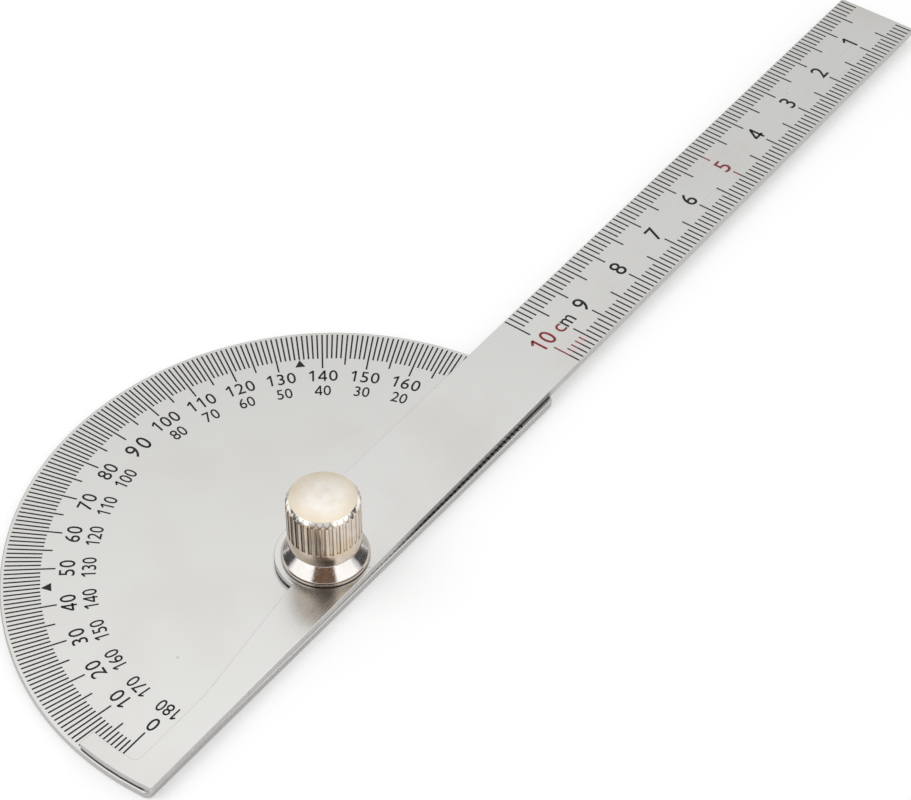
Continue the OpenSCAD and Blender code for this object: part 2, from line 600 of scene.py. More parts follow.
# %% Arrows at 45 and 135 degrees
ARROW_LONG = 1.45 * MM
ARROW_WIDE = 1.5 * MM
ARROW_DRAWN_LONG = 1.5
ARROW_DRAWN_WIDE = math.sqrt(3)
plate_tree = tree_of(plate)

deselect_all()
bpy.ops.mesh.primitive_circle_add(vertices=3, radius=1, fill_type="NGON", rotation=(0, 0, math.pi / 2))
arrow = just_made("arrow")
apply_place()
open_whole(arrow)
extrude_up(1)
close_outward()
arrow_ends = [v.co.x for v in arrow.data.vertices]
arrow_middle = (min(arrow_ends) + max(arrow_ends)) / 2
arrow.data.transform(Matrix.Translation((-arrow_middle, 0, 0)))



def mean_radius(names):
    """The mean distance from the pivot of some named points on the plate."""
    return sum(seen_place(n, plate_tree).xy.length for n in names) / len(names)


arrow_r = mean_radius([f"arrow_{d}" for d in ARROWS])
features = {}
arrow_parts = []
for degree in ARROWS:
    turn = Matrix.Rotation(-math.radians(degree), 4, "Z")
    place = Matrix.Translation((-arrow_r, 0, PLATE_TOP))
    size = Matrix.Diagonal((ARROW_LONG / ARROW_DRAWN_LONG, ARROW_WIDE / ARROW_DRAWN_WIDE, INK_T, 1))
    part = stamp(arrow, turn @ place @ size)
    features[f"arrow_{degree}"] = ink_places([part])
    arrow_parts.append(part)
arrows = joined(arrow_parts, "degree_arrows")
print("arrows sit at radius", round(arrow_r / MM, 2), "mm")

# %% [markdown]
# ## Marks of the two straight scales
#
# The arm is a ten centimetre ruler that is read from its free end, so its zero is the end itself.
# Both long edges carry millimetre marks. They are drawn along X and then turned with the arm,
# which is stored at a small angle to the plate. On the lower side the last five marks, up to
# ten centimetres, have red inner ends, and so have both marks at five centimetres. The plate
# has a plain row of millimetre marks along its straight edge, mostly under the arm.

# %% Ruler marks
RULER_ZERO_X = 152.16 * MM
UPPER_OUTER = 7.10 * MM
UPPER_SHORT = 4.10 * MM
UPPER_LONG = 2.39 * MM
LOWER_OUTER = -6.60 * MM
LOWER_SHORT = -3.70 * MM
LOWER_LONG = -1.99 * MM
RED_FROM_10 = -4.85 * MM
RED_FROM_5 = 1.3 * MM


def ruler_tick(low, high, x):
    """One mark across the arm, between two heights in the arm's own frame."""
    return stamp(ink_bar, straight_mark(x, low, high, RULER_TICK_W, ARM_TOP, ARM_ANGLE))


black_parts = []
red_parts = []
for millimetre in range(1, 101):
    x = RULER_ZERO_X - millimetre * MM
    upper = UPPER_LONG if millimetre % 5 == 0 else UPPER_SHORT
    lower = LOWER_LONG if millimetre % 5 == 0 else LOWER_SHORT
    red_over, red_under = upper, lower
    if millimetre == 50:
        red_over, red_under = upper + RED_FROM_5, lower - RED_FROM_5
    if millimetre > 95:
        red_under = RED_FROM_10
    black_parts.append(ruler_tick(red_over, UPPER_OUTER, x))
    black_parts.append(ruler_tick(LOWER_OUTER, red_under, x))
    if red_over > upper:
        red_parts.append(ruler_tick(upper, red_over, x))
    if red_under < lower:
        red_parts.append(ruler_tick(red_under, lower, x))
ruler_marks = joined(black_parts, "ruler_marks")
ruler_marks_red = joined(red_parts, "ruler_marks_red")
print("ruler:", len(ruler_marks.data.polygons), "black faces,", len(ruler_marks_red.data.polygons), "red")

# %% Marks along the plate's straight edge
EDGE_SCALE_HALF = 37
EDGE_LOW = BASE_EDGE_Y + 0.25 * MM
EDGE_SHORT = 2.5 * MM
EDGE_LONG = 4.0 * MM
edge_parts = []
for millimetre in range(-EDGE_SCALE_HALF, EDGE_SCALE_HALF + 1):
    reach = EDGE_LONG if millimetre % 5 == 0 else EDGE_SHORT
    placing = straight_mark(millimetre * MM, EDGE_LOW, EDGE_LOW + reach, EDGE_TICK_W, PLATE_TOP)
    edge_parts.append(stamp(ink_bar, placing))
edge_marks = joined(edge_parts, "edge_marks")
print("edge scale:", len(edge_marks.data.polygons), "faces")

# %% [markdown]
# ## Numbers
#
# The numbers are printed in a plain narrow sans letter. Each character is made once from
# Blender's built-in letters, turned into a mesh, made a little bolder and scaled to a height of
# one. Its figure one is a bare stroke, and its four closes up when it is made bolder, so these
# two are laid from straight bars: the one from a stem and a slanting flag, the four from three.
# A label is then a row of stamped characters, set at an even step as printed figures are.

# %% Characters of ink
LETTER_TALL = 0.70
LETTER_BOLDER = 0.005
CURVE_STEPS = 4
STROKE = 0.145
BARS = {
    "1": ((0.08, 0.0, 0.08, 1.0), (0.06, 0.95, -0.20, 0.73)),
    "4": ((0.15, 0.0, 0.15, 1.0), (-0.34, 0.27, 0.32, 0.27), (-0.29, 0.30, 0.12, 0.93)),
}


def thicken_up(piece):
    """Gives a flat piece of ink its thickness, from 0 to 1."""
    open_whole(piece)
    bpy.ops.mesh.remove_doubles(threshold=0.0001)
    bpy.ops.mesh.normals_make_consistent(inside=False)
    extrude_up(1)
    close_outward()
    return piece


def letter(character):
    """A built-in letter as a mesh of height one, centred on its width."""
    deselect_all()
    bpy.ops.object.text_add()
    text = bpy.context.object
    text.data.body = character
    text.data.resolution_u = CURVE_STEPS
    text.data.offset = LETTER_BOLDER
    bpy.ops.object.convert(target="MESH")
    piece = bpy.context.object
    across = [v.co.x for v in piece.data.vertices]
    middle = (min(across) + max(across)) / 2
    piece.data.transform(Matrix.Scale(1 / LETTER_TALL, 4) @ Matrix.Translation((-middle, 0, 0)))
    return thicken_up(piece)


def bar(x0, y0, x1, y1):
    """One straight stroke between two points."""
    deselect_all()
    angle = math.atan2(y1 - y0, x1 - x0)
    place = ((x0 + x1) / 2, (y0 + y1) / 2, 0)
    bpy.ops.mesh.primitive_plane_add(size=1, location=place, rotation=(0, 0, angle))
    stroke = bpy.context.object
    stroke.scale = (math.hypot(x1 - x0, y1 - y0), STROKE, 1)
    apply_place()
    return stroke


characters = {c: letter(c) for c in "02356789cm"}
for figure, strokes in BARS.items():
    characters[figure] = thicken_up(joined([bar(*ends) for ends in strokes], f"figure_{figure}"))
print("characters:", {c: len(o.data.polygons) for c, o in characters.items()})


def label(text, style, placing):
    """A row of characters round the middle of its place. A style is the height, how much the
    characters are narrowed, and the step between them as a share of the height."""
    height, narrow, step = style
    parts = []
    for i, character in enumerate(text):
        x = (i - (len(text) - 1) / 2) * step * height
        size = Matrix.Diagonal((height * narrow, height, INK_T, 1))
        at = Matrix.Translation((x, -height / 2, 0))
        parts.append(stamp(characters[character], placing @ at @ size))
    return parts

# %% [markdown]
# ## Numbers on the degree scale
#
# Two rows of numbers follow the scale. The outer row counts up from the left and the inner row
# counts down, so that an angle can be read from either side, and both stand with their tops
# outwards. Where the rows sit is read from the photograph: a few numbers are marked there, and
# their mean distance from the pivot sets the whole row. The 90 stands alone and is larger.

# %% Degree numbers
OUTER_STYLE = (2.2 * MM, 0.92, 0.72)
INNER_STYLE = (2.0 * MM, 0.86, 0.63)
NINETY_STYLE = (2.65 * MM, 0.88, 0.84)


def dial_place(degree, radius):
    """The middle of a number on the dial, its top turned outwards."""
    angle = math.radians(degree)
    spot = Matrix.Translation((-math.cos(angle) * radius, math.sin(angle) * radius, PLATE_TOP))
    return spot @ Matrix.Rotation(math.pi / 2 - angle, 4, "Z")


outer_r = mean_radius(["number_0", "number_50", "number_140"])
inner_r = mean_radius(["inner_number_130", "inner_number_40"])
ninety_r = mean_radius(["number_90"])
outer_parts = []
inner_parts = []
for degree in range(0, 181, 10):
    if degree == 90:
        parts = label("90", NINETY_STYLE, dial_place(90, ninety_r))
        inner = []
    else:
        parts = label(str(degree), OUTER_STYLE, dial_place(degree, outer_r))
        inner = label(str(180 - degree), INNER_STYLE, dial_place(degree, inner_r))
    features[f"number_{degree}"] = ink_places(parts)
    features[f"inner_number_{180 - degree}"] = ink_places(inner)
    outer_parts += parts
    inner_parts += inner
outer_numbers = joined(outer_parts, "degree_numbers_outer")
inner_numbers = joined(inner_parts, "degree_numbers_inner")
print("rows at", round(outer_r / MM, 2), "and", round(inner_r / MM, 2), "mm; 90 at", round(ninety_r / MM, 2))

# %% [markdown]
# ## Numbers on the ruler
#
# The ruler's numbers stand on the centimetre marks, between the two rows of marks, and count
# from the free end. The five and the ten are red, and so is the first letter of the unit, which
# stands beside the ten.

# %% Ruler numbers
RULER_STYLE = (2.85 * MM, 1.0, 0.80)
UNIT_LETTERS = (("c", -1.2 * MM, (2.65 * MM, 1.0, 0.80)), ("m", 0.8 * MM, (2.65 * MM, 0.9, 0.80)))
RED_NUMBERS = (5, 10)
arm_tree = tree_of(arm)
arm_turn = Matrix.Rotation(ARM_ANGLE, 4, "Z")


def on_arm(name):
    """A named point's place in the arm's own frame, X along the arm."""
    return arm_turn.inverted() @ seen_place(name, arm_tree)


number_names = ["ruler_number_9", "ruler_number_4", "ruler_number_1"]
number_row_y = sum(on_arm(n).y for n in number_names) / len(number_names)
unit_x = on_arm("ruler_unit").x
black_numbers = []
red_numbers = []
for centimetre in range(1, 11):
    x = RULER_ZERO_X - centimetre * 10 * MM
    at = arm_turn @ Matrix.Translation((x, number_row_y, ARM_TOP))
    parts = label(str(centimetre), RULER_STYLE, at)
    features[f"ruler_number_{centimetre}"] = ink_places(parts)
    row = red_numbers if centimetre in RED_NUMBERS else black_numbers
    row += parts
unit_parts = []
for character, shift, style in UNIT_LETTERS:
    at = arm_turn @ Matrix.Translation((unit_x + shift, number_row_y, ARM_TOP))
    unit_parts += label(character, style, at)
features["ruler_unit"] = ink_places(unit_parts)
red_numbers.append(unit_parts[0])
black_numbers.append(unit_parts[1])
ruler_numbers = joined(black_numbers, "ruler_numbers")
ruler_numbers_red = joined(red_numbers, "ruler_numbers_red")
for source in [ink_bar, arrow, *characters.values()]:
    bpy.data.objects.remove(source)
print("the ruler's numbers stand", round(number_row_y / MM, 2), "mm above its turning point")

# %% [markdown]
# ## Brushed steel
#
# Stainless sheet is finished with a belt that leaves fine straight scratches. Close up they are
# lines of slightly different brightness, and from afar they only spread the reflections. One
# noise, stretched about a hundred times along the belt's way, drives a little colour, a little
# roughness and a faint bump. A second, wide noise gives the cloudy tint of handled metal, and a
# sparse cell pattern the few dark specks.

# %% Helpers for materials
class Nodes:
    """Builds a node tree. A value is a number, a colour, an axis or another node's output."""

    def __init__(self, tree, kind="Object"):
        self.tree = tree
        self.coordinates = self.new("TexCoord").outputs[kind]

    def feed(self, socket, value):
        """Gives a socket its value."""
        if isinstance(value, bpy.types.NodeSocket):
            self.tree.links.new(value, socket)
        else:
            socket.default_value = (*value, 1) if socket.type == "RGBA" else value

    def new(self, kind, inputs=None, **settings):
        """A node with its settings made and its inputs fed."""
        node = self.tree.nodes.new("ShaderNode" + kind)
        for name, value in settings.items():
            setattr(node, name, value)
        for key, value in (inputs or {}).items():
            self.feed(node.inputs[key], value)
        return node

    def math(self, kind, first, second=0.0):
        return self.new("Math", {0: first, 1: second}, operation=kind).outputs["Value"]

    def times(self, product, *values):
        for value in values:
            product = self.math("MULTIPLY", product, value)
        return product

    def spread(self, value, low, high, from_low=0.3, from_high=0.7, soft=False):
        """Maps a pattern's range to another, without going past it."""
        inputs = {"Value": value, "From Min": from_low, "From Max": from_high, "To Min": low, "To Max": high}
        kind = "SMOOTHSTEP" if soft else "LINEAR"
        return self.new("MapRange", inputs, interpolation_type=kind).outputs["Result"]

    def blend(self, factor, first, second):
        """Mixes two colours."""
        node = self.new("Mix", {"Factor": factor}, data_type="RGBA")
        for socket, value in zip([s for s in node.inputs if s.type == "RGBA"], (first, second)):
            self.feed(socket, value)
        return [s for s in node.outputs if s.type == "RGBA"][0]

    def along(self, axis):
        """How far a place or a direction lies along an axis of the frame."""
        inputs = {0: self.coordinates, 1: axis}
        return self.new("VectorMath", inputs, operation="DOT_PRODUCT").outputs["Value"]

    def height(self):
        return self.along((0, 0, 1))


class Finish(Nodes):
    """A new material, painted on the piece's own coordinates."""

    def __init__(self, name, metallic=1.0):
        self.material = bpy.data.materials.new(name)
        self.material.use_nodes = True
        super().__init__(self.material.node_tree)
        self.shader = self.tree.nodes["Principled BSDF"]
        self.shader.inputs["Metallic"].default_value = metallic

    def paint(self, tone, rough):
        """Gives the shader its colour and roughness, and returns the material."""
        self.feed(self.shader.inputs["Base Color"], tone)
        self.feed(self.shader.inputs["Roughness"], rough)
        return self.material

    def bump(self, height, strength, distance):
        """A fine relief for the shader's normal."""
        inputs = {"Height": height, "Strength": strength, "Distance": distance}
        self.feed(self.shader.inputs["Normal"], self.new("Bump", inputs).outputs["Normal"])

    def stretched(self, scale, turn=0.0):
        """The coordinates, scaled along each axis."""
        inputs = {"Vector": self.coordinates, "Scale": scale, "Rotation": (0, 0, turn)}
        return self.new("Mapping", inputs).outputs["Vector"]

    def radius(self):
        """The distance from the pivot's axis."""
        return self.new("VectorMath", {0: self.stretched((1, 1, 0))}, operation="LENGTH").outputs["Value"]

    def noise(self, scale, detail=2, roughness=0.5, vector=None):
        """A cloudy pattern from 0 to 1."""
        vector = self.coordinates if vector is None else vector
        inputs = {"Vector": vector, "Scale": scale, "Detail": detail, "Roughness": roughness}
        return self.new("TexNoise", inputs).outputs["Fac"]

    def mottle(self, pattern, dark, light):
        """Two tones, mixed by a pattern."""
        return self.blend(self.spread(pattern, 0.0, 1.0), dark, light)


def shade(colour, factor):
    """A colour made lighter or darker."""
    return tuple(c * factor for c in colour)

# %% Sheet steel
STEEL = (0.71, 0.705, 0.685)
STEEL_WARM = (0.66, 0.64, 0.61)
GRAIN_SCALE = (60, 7000, 60)
CLOUD_SCALE = 55
SPECK_SCALE = 150
SPECK_DARK = 0.45


def brushed_sheet(name, colour, roughness, turn):
    finish = Finish(name)
    grain = finish.noise(1.0, vector=finish.stretched(GRAIN_SCALE, turn))
    clouds = finish.noise(CLOUD_SCALE, detail=3)
    cells = finish.new("TexVoronoi", {"Scale": SPECK_SCALE, "Vector": finish.coordinates})
    speck = finish.spread(cells.outputs["Distance"], 1.0, 0.0, 0.02, 0.05)
    tone = finish.mottle(grain, shade(colour, 0.99), shade(colour, 1.01))
    tone = finish.blend(finish.spread(clouds, 0.0, 0.7, 0.48, 0.75), tone, STEEL_WARM)
    tone = finish.blend(finish.times(speck, 0.4), tone, shade(colour, SPECK_DARK))
    finish.bump(grain, 0.012, 0.01 * MM)
    return finish.paint(tone, finish.spread(grain, roughness - 0.015, roughness + 0.02))


plate_steel = brushed_sheet("plate_steel", STEEL, 0.25, 0.0)
arm_steel = brushed_sheet("arm_steel", shade(STEEL, 1.02), 0.27, -ARM_ANGLE)
print("sheet finishes:", plate_steel.name, arm_steel.name)

# %% [markdown]
# ## Sheared edges
#
# The narrow walls of a sheet show how it was cut. A shear or a punch leaves short lines across
# the thickness and a duller, greyer metal than the polished faces. The walls are found by
# their normals, which lie level, and they get a material of their own, with the eased edges
# below them. Where the arm lies over the plate, a black line is painted at the foot of its wall:
# painted shadow of the thin gap under it, with some oil. The long wall beside the straight edge
# is darkened in patches, as painted shade and a painted reflection of the plate's edge below it.
# So the arm's walls have a second version with that painted shade.

# %% Cut walls
CUT_GREY = (0.56, 0.55, 0.54)
STUD_GREY = (0.62, 0.61, 0.60)
# Black for the foot of the arm's wall and of the washer: painted shadow where they meet the metal under
# them, with some oil.
OIL_AND_SHADOW_BLACK = (0.010, 0.009, 0.008)
CUT_LINES = (5000, 5000, 300)
CUT_LAYERS = (50, 50, 4000)
HUB_R = 8 * MM
LONG_WALL_Y = -6 * MM
WALL_FROM = -0.97
WALL_TO = 0.3


def sheared_wall(name, colour, oiled_and_shaded=False):
    finish = Finish(name)
    lines = finish.noise(1.0, vector=finish.stretched(CUT_LINES))
    layers = finish.noise(1.0, detail=1, vector=finish.stretched(CUT_LAYERS))
    tone = finish.mottle(lines, shade(colour, 0.86), shade(colour, 1.06))
    tone = finish.blend(finish.spread(layers, 0.0, 0.35), tone, shade(colour, 0.7))
    # The arm's walls get painted shade over the plate: a black foot and a darker long wall.
    if oiled_and_shaded:
        tone = oil_line(finish, tone, colour)
    finish.bump(lines, 0.15, 0.02 * MM)
    return finish.paint(tone, finish.spread(lines, 0.28, 0.42))


def foot_line(finish, low, high):
    """One at the foot of the arm's wall, fading out between two heights over its underside."""
    return finish.spread(finish.height(), 1.0, 0.0, arm_low.z + low * MM, arm_low.z + high * MM)


def oil_line(finish, tone, colour):
    """Darkens the foot of the arm's wall, and its long wall, as far as the plate reaches: painted shadow of
    the gap under the arm at the foot, with some oil, and patchy painted shade and reflection on the long
    wall.
    """
    radius = finish.radius()
    over_plate = finish.spread(radius, 1.0, 0.0, PLATE_R - 0.4 * MM, PLATE_R + 0.4 * MM)
    past_hub = finish.spread(finish.along((1, 0, 0)), 0.0, 1.0, 6 * MM, 14 * MM)
    lower = finish.spread(finish.along((0, 1, 0)), 1.0, 0.0, LONG_WALL_Y - 0.2 * MM, LONG_WALL_Y + 0.2 * MM)
    # Patchy painted shade and painted reflection on the long wall over the plate.
    long_wall = finish.times(past_hub, lower, over_plate)
    patchy = finish.spread(finish.noise(900), 0.50, 0.78)
    tone = finish.blend(finish.times(long_wall, patchy), tone, shade(colour, 0.18))
    # A black foot line, higher round the hub: painted shadow of the gap under the arm, with some oil.
    hub = finish.spread(radius, 1.0, 0.0, HUB_R, HUB_R + MM)
    hub_foot = finish.times(foot_line(finish, 0.33, 0.38), hub)
    foot = finish.math("MAXIMUM", foot_line(finish, 0.18, 0.24), hub_foot)
    foot = finish.times(foot, finish.math("SUBTRACT", 1.0, lower))
    long_foot = finish.times(foot_line(finish, 0.22, 0.50), long_wall)
    foot = finish.math("MAXIMUM", foot, long_foot)
    return finish.blend(finish.times(foot, over_plate), tone, OIL_AND_SHADOW_BLACK)


plate_cut = sheared_wall("plate_cut_steel", CUT_GREY)
arm_cut = sheared_wall("arm_cut_steel", shade(CUT_GREY, 1.1), oiled_and_shaded=True)


def dress_sheet(piece, face_steel, wall_steel):
    """Faces in brushed steel, walls and their eased lower edges in cut steel."""
    piece.data.materials.append(face_steel)
    piece.data.materials.append(wall_steel)
    walls = 0
    for face in piece.data.polygons:
        if WALL_FROM < face.normal.z < WALL_TO:
            face.material_index = 1
            walls += 1
    return walls


print("plate walls:", dress_sheet(plate, plate_steel, plate_cut))
print("arm walls:", dress_sheet(arm, arm_steel, arm_cut))

# %% [markdown]
# ## Nickel plate
#
# The nut is brass with a thin, warm nickel plate. Its top was turned on a lathe, which shows as
# faint rings, and handling has clouded and yellowed it. The bevelled crown is bright. The knurl
# is duller, and darker on one side: painted shade and reflection, with some tarnish. Its grooves
# are darkened by dirt and by painted shade, more on that side, and low on its band's front is a
# painted reflection of the washer. The washer's plate is colder and nearly a mirror, with a brown
# ledge at its rim, lighter specks at its pits that are painted glints, and a black foot that is
# painted shade, with some oil, where it stands on the arm. Rings and stains follow the distance
# to the pivot's axis, which is why they read the frame's own coordinates. The large dark and
# bright patches on the crown and the washer aren't painted: they are reflections of the room.

# %% Helpers for turned pieces
# The side of the nut that is painted lighter, as painted light, and has less tarnish.
LIT_AND_CLEAN_SIDE = Vector((0.66, -0.75, 0))
# The side where the band's foot carries a painted reflection of the washer.
WASHER_REFLECTION_SIDE = Vector((-0.75, -0.66, 0))


def ring_height(finish, scale):
    """Fine rings round the pivot's axis, as a lathe tool leaves them."""
    inputs = {"X": finish.times(finish.radius(), scale), "Y": finish.noise(200)}
    return finish.noise(1.0, vector=finish.new("CombineXYZ", inputs).outputs["Vector"])


def above(finish, height, soft):
    """One above a height and zero below it."""
    return finish.spread(finish.height(), 0.0, 1.0, height - soft, height)

# %% Nut finish
SIDE_TONES = (0.64, 0.54, 0.44), (0.80, 0.72, 0.64)
# The darker side of the knurl: painted shade and reflection, with some tarnish.
SHADED_TARNISHED_TONES = (0.50, 0.41, 0.33), (0.70, 0.61, 0.52)
TOP_TONES = (0.86, 0.80, 0.72), (0.96, 0.93, 0.88)
YELLOWED = (0.66, 0.50, 0.31)
CROWN_BRIGHT = (0.93, 0.89, 0.85)
TOP_RIM = (0.79, 0.69, 0.54)
TOP_WORN = (0.76, 0.65, 0.50)
# Dark brown painted reflection of the washer, with painted shade, low on the band's front.
BAND_PAINTED_REFLECTION = (0.085, 0.055, 0.038)
# Dark in the grooves: dirt, and painted shade that is heavier on the shaded side.
GROOVE_DIRT_AND_SHADE = (0.06, 0.042, 0.03)


def side_tone(finish, clouds, patches, lit_and_fresh):
    """The knurl and the band: darker on one side, as painted shade and reflection with some tarnish,
    yellowed in patches, and with a painted reflection of the washer low on the band's front.
    """
    shaded_and_tarnished = finish.mottle(clouds, *SHADED_TARNISHED_TONES)
    tone = finish.blend(lit_and_fresh, shaded_and_tarnished, finish.mottle(clouds, *SIDE_TONES))
    tone = finish.blend(finish.spread(patches, 0.0, 0.55, 0.52, 0.62), tone, YELLOWED)
    across = finish.along(LIT_AND_CLEAN_SIDE)
    # Low on the band's front, towards the washer: a painted reflection of the washer, with painted shade.
    foot = finish.spread(finish.height(), 0.95, 0.0, nut_low.z + 0.9 * MM, nut_low.z + 2.0 * MM)
    fading = finish.spread(across, 0.0, 1.0, -0.9 * NUT_R, 0.0)
    edge = finish.spread(across, 1.0, 0.0, 0.18 * NUT_R, 0.28 * NUT_R)
    front = finish.spread(finish.along(WASHER_REFLECTION_SIDE), 0.0, 1.0, 0.0, 0.3 * NUT_R)
    tone = finish.blend(finish.times(foot, fading, edge, front), tone, BAND_PAINTED_REFLECTION)
    return finish.blend(above(finish, CROWN_FOOT + 0.32 * MM, 0.10 * MM), tone, CROWN_BRIGHT)


def top_tone(finish, clouds, patches, radius):
    """The flat top: pale in the middle, yellower towards the rim and where it is worn."""
    tone = finish.mottle(clouds, *TOP_TONES)
    tone = finish.blend(finish.spread(radius, 0.0, 0.85, 2.0 * MM, 4.6 * MM), tone, TOP_RIM)
    return finish.blend(finish.spread(patches, 0.0, 0.6, 0.50, 0.68), tone, TOP_WORN)


def groove_dirt(finish, lit_and_fresh, radius):
    """How dark the grooves are: dirt and painted shade on their flanks, and deep down on the shaded side."""
    below_ridge = finish.spread(radius, 1.0, 0.0, NUT_R - 0.06 * MM, NUT_R - 0.02 * MM)
    over_bottom = finish.spread(radius, 0.0, 1.0, NUT_R - 0.159 * MM, NUT_R - 0.13 * MM)
    flanks = finish.times(over_bottom, below_ridge)
    bottom = finish.spread(radius, 0.8, 0.0, NUT_R - 0.15 * MM, NUT_R - 0.05 * MM)
    bottom = finish.times(bottom, finish.spread(lit_and_fresh, 1.0, 0.08, 0.0, 0.9))
    below_crown = finish.math("SUBTRACT", 1.0, above(finish, CROWN_FOOT, 0.1 * MM))
    share = finish.spread(lit_and_fresh, 0.97, 0.5, 0.0, 1.0)
    return finish.times(finish.math("MAXIMUM", flanks, bottom), below_crown, share)


def warm_nickel(name):
    finish = Finish(name)
    clouds = finish.noise(420, detail=4, roughness=0.6)
    patches = finish.noise(230, detail=3)
    radius = finish.radius()
    on_top = above(finish, NUT_TOP - 0.01 * MM, 0.05 * MM)
    # Towards the nut's lit side: painted light on that side, painted shade and some tarnish on the other.
    lit_and_fresh = finish.spread(finish.along(LIT_AND_CLEAN_SIDE), 0.0, 1.0, -0.75 * NUT_R, 0.6 * NUT_R)
    side = side_tone(finish, clouds, patches, lit_and_fresh)
    tone = finish.blend(on_top, side, top_tone(finish, clouds, patches, radius))
    tone = finish.blend(groove_dirt(finish, lit_and_fresh, radius), tone, GROOVE_DIRT_AND_SHADE)
    side_rough = finish.spread(clouds, 0.10, 0.17)
    top_rough = finish.spread(clouds, 0.24, 0.36)
    difference = finish.math("SUBTRACT", top_rough, side_rough)
    finish.bump(ring_height(finish, 7000), 0.25, 0.01 * MM)
    return finish.paint(tone, finish.math("ADD", side_rough, finish.times(difference, on_top)))

# %% Washer finish
WASHER_TONES = (0.72, 0.69, 0.66), (0.80, 0.78, 0.76)
PIT_GLINT_TONE = (0.90, 0.84, 0.78)
LEDGE_BROWN = (0.42, 0.35, 0.29)
LEDGE_R = 5.84 * MM


def bright_nickel(name):
    finish = Finish(name)
    rings = ring_height(finish, 6000)
    pits = finish.noise(5500)
    tone = finish.mottle(finish.noise(500, detail=3), *WASHER_TONES)
    # Lighter specks at the pits: painted glints.
    tone = finish.blend(finish.spread(pits, 0.0, 0.30, 0.60, 0.72), tone, PIT_GLINT_TONE)
    ledge = finish.spread(finish.radius(), 0.0, 0.7, LEDGE_R, LEDGE_R + 0.08 * MM)
    tone = finish.blend(ledge, tone, LEDGE_BROWN)
    # A black foot where the washer stands on the arm: painted shade, with some oil.
    tone = finish.blend(above(finish, washer_low.z + 0.20 * MM, 0.06 * MM), OIL_AND_SHADOW_BLACK, tone)
    finish.bump(finish.math("ADD", finish.times(rings, 0.3), pits), 0.25, 0.02 * MM)
    return finish.paint(tone, finish.spread(pits, 0.09, 0.28, 0.50, 0.70))


nut.data.materials.append(warm_nickel("nut_nickel"))
washer.data.materials.append(bright_nickel("washer_nickel"))
stud.data.materials.append(sheared_wall("stud_steel", STUD_GREY))
print("turned pieces dressed")

# %% [markdown]
# ## Ink
#
# The ink is a matt black enamel, and a dull red for the five, the ten and a few marks. It isn't
# even: where it was wiped thin the steel makes it greyer, so a fine noise lightens it a little.

# %% Ink finishes
BLACK = (0.010, 0.010, 0.011)
BLACK_THIN = (0.035, 0.035, 0.035)
RED = (0.25, 0.030, 0.034)
RED_THIN = (0.34, 0.075, 0.07)


def enamel(name, colour, thin):
    finish = Finish(name, metallic=0.0)
    wear = finish.noise(2500, detail=3)
    finish.feed(finish.shader.inputs["Specular IOR Level"], 0.25)
    tone = finish.blend(finish.spread(wear, 0.0, 1.0, 0.45, 0.8), colour, thin)
    return finish.paint(tone, finish.spread(wear, 0.42, 0.6))


black_ink = enamel("black_ink", BLACK, BLACK_THIN)
red_ink = enamel("red_ink", RED, RED_THIN)
plate_inks = [degree_marks, arrows, edge_marks, outer_numbers, inner_numbers]
arm_inks = [ruler_marks, ruler_numbers]
red_inks = [ruler_marks_red, ruler_numbers_red]
for piece in plate_inks + arm_inks + red_inks:
    piece.data.materials.clear()
    piece.data.materials.append(red_ink if piece in red_inks else black_ink)
print("inked pieces:", len(plate_inks + arm_inks + red_inks))

# %% [markdown]
# ## What rides on what
#
# Every piece moves with one body of the part: the scales with their sheets, the nut and the
# washer with their own bodies.

# %% Riding
for piece, body, finish_name in (
    (plate, "plate", "plate_steel"),
    (stud, "plate", "stud_steel"),
    (arm, "arm", "arm_steel"),
    (washer, "washer", "washer_nickel"),
    (nut, "nut", "nut_nickel"),
):
    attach(piece, body)
for piece in plate_inks:
    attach(piece, "plate")
for piece in arm_inks + red_inks:
    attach(piece, "arm")

# %% [markdown]
# ## The studio
#
# Metal shows its surroundings, so the surroundings are most of the picture. The world is a
# small photo tent: pale all over, brightest high up, with two bright panels on the side where
# the photograph was taken from. Between them a warm dark gap stands for the photographer, low
# down, and for the camera, higher up, and round the other sides the horizon is dim. Only
# reflections see that tent. The background is plain white, and matt things are lit evenly.

# %% World
SKY_LOW = 0.73
SKY_HIGH = 1.24
OVERHEAD = 1.04
PANEL = 1.3
GAP = (0.17, 0.10, 0.06)
DIM = 0.08
DIM_BEHIND = 0.5
TENT_TURN = math.radians(-7)
ROOM_LIGHT = 0.75

world = bpy.data.worlds.new("studio")
bpy.context.scene.world = world
world.use_nodes = True
world.node_tree.nodes.clear()
sky = Nodes(world.node_tree, "Generated")
camera_side = (CAMERA_PLACE * Vector((1, 1, 0))).normalized()
toward = Matrix.Rotation(TENT_TURN, 3, "Z") @ camera_side
beside = Vector((-toward.y, toward.x, 0))
height = sky.height()
side_angle = sky.math("ABSOLUTE", sky.math("ARCTAN2", sky.along(beside), sky.along(toward)))


def rises(start, end):
    """A soft step by height, 0 level and 1 overhead. It falls if end lies before start."""
    return sky.spread(height, 0.0, 1.0, start, end, soft=True)


def turns(start, end):
    """A soft step by the angle from the camera's side, in degrees."""
    return sky.spread(side_angle, 0.0, 1.0, math.radians(start), math.radians(end), soft=True)


def grey(value):
    return (value, value, value)

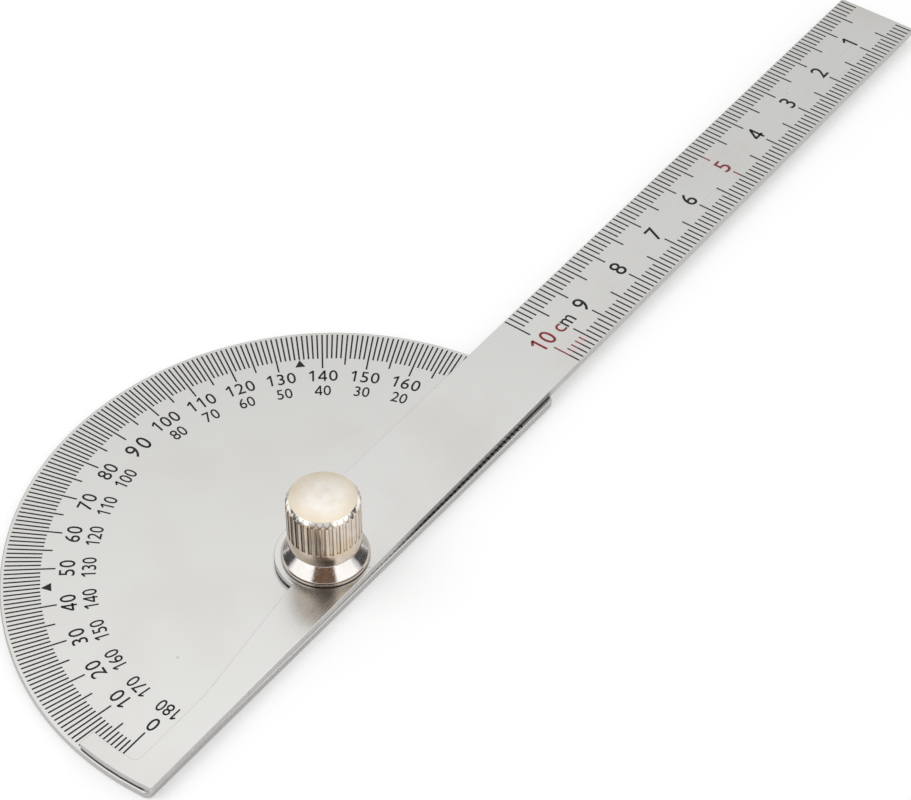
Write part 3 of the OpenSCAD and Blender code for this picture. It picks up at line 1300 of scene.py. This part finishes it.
# %% The tent's pattern
horizon = sky.times(turns(86, 104), turns(150, 125), 0.24)
over_horizon = sky.spread(sky.math("SUBTRACT", height, horizon), 0.0, 1.0, 0.10, 0.22, soft=True)
tone = sky.blend(turns(120, 150), grey(DIM), grey(DIM_BEHIND))
tone = sky.blend(over_horizon, tone, grey(SKY_LOW))
tone = sky.blend(rises(0.64, 0.84), tone, grey(SKY_HIGH))
tone = sky.blend(rises(0.88, 0.97), tone, grey(OVERHEAD))
panels = sky.times(turns(27, 35), turns(94, 84), rises(0.14, 0.22), rises(0.92, 0.80))
tone = sky.blend(panels, tone, grey(PANEL))
gap_ends = sky.math("MAXIMUM", rises(0.33, 0.27), rises(0.50, 0.56))
tone = sky.blend(sky.times(turns(35, 27), rises(0.92, 0.82), gap_ends), tone, GAP)

rays = sky.new("LightPath").outputs
in_mirror = sky.math("MAXIMUM", rays["Is Glossy Ray"], rays["Is Transmission Ray"])
tone = sky.blend(in_mirror, grey(ROOM_LIGHT), tone)
tone = sky.blend(rays["Is Camera Ray"], tone, grey(1.0))
background = sky.new("Background", {"Color": tone})
sky.new("OutputWorld", {"Surface": background.outputs["Background"]})
print("studio nodes:", len(world.node_tree.nodes))

# %% [markdown]
# ## Lamp and floor
#
# One wide soft lamp gives matt things a direction and the floor its faint shadow. The floor is
# plain and pale. To the camera and in reflections it also glows a little, which makes it white
# like the photograph's ground without more light on the object.

# %% Lamp
LAMP_PLACE = Vector((-0.35, 0.45, 0.85))
LAMP_AIM = Vector((0.03, 0, 0))
LAMP_SIZE = 0.7
LAMP_POWER = 2.2
lamp_data = bpy.data.lights.new("soft_box", "AREA")
lamp_data.shape = "SQUARE"
lamp_data.size = LAMP_SIZE
lamp_data.energy = LAMP_POWER
lamp = bpy.data.objects.new("soft_box", lamp_data)
bpy.context.scene.collection.objects.link(lamp)
lamp.location = LAMP_PLACE
lamp.rotation_euler = (LAMP_AIM - LAMP_PLACE).to_track_quat("-Z", "Y").to_euler()
lamp.visible_glossy = False

# %% Floor
FLOOR_Z = -0.05 * MM
FLOOR_GLOW = 0.28
deselect_all()
bpy.ops.mesh.primitive_plane_add(size=6, location=(0, 0, FLOOR_Z))
floor = just_made("floor")
paper = Finish("floor_paint", metallic=0.0)
rays = paper.new("LightPath").outputs
seen = paper.math("MAXIMUM", rays["Is Camera Ray"], rays["Is Glossy Ray"])
paper.feed(paper.shader.inputs["Specular IOR Level"], 0.0)
paper.feed(paper.shader.inputs["Emission Color"], grey(1.0))
paper.feed(paper.shader.inputs["Emission Strength"], paper.times(seen, FLOOR_GLOW))
floor.data.materials.append(paper.paint(grey(0.82), 0.9))
floor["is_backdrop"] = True
bpy.context.scene.view_settings.view_transform = "Standard"
print("floor and lamp are set")

# %% [markdown]
# ## How true is it
#
# The last step measures the result. It projects the finished vertices into the photograph's
# frame, keeps those that the camera really sees, and finds where the middle of each feature and
# each edge of the object show.

# %% Measure the points
bpy.context.view_layer.update()
depsgraph = bpy.context.evaluated_depsgraph_get()
SEEN_SLACK = 0.15 * MM


def shows(place):
    """Whether nothing stands between the camera and a place."""
    way = place - CAMERA_PLACE
    hit, found = bpy.context.scene.ray_cast(depsgraph, CAMERA_PLACE, way.normalized())[:2]
    return not hit or (found - CAMERA_PLACE).length > way.length - SEEN_SLACK


def middle_shown(places):
    """The middle of what shows of some places, in the photograph's frame."""
    seen = [photo_point(p) for p in places if shows(p)]
    return [(min(side) + max(side)) / 2 for side in zip(*seen)]


features["nut_top"] = [v.co for v in nut.data.vertices if v.co.z > NUT_TOP - SAME]
for name, (x, y) in POINTS.items():
    shown_x, shown_y = middle_shown(features[name])
outline = [photo_point(v.co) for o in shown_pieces() for v in o.data.vertices if shows(v.co)]
xs, ys = zip(*outline)
shown_edges = {"left": min(xs), "right": max(xs), "top": min(ys), "bottom": max(ys)}
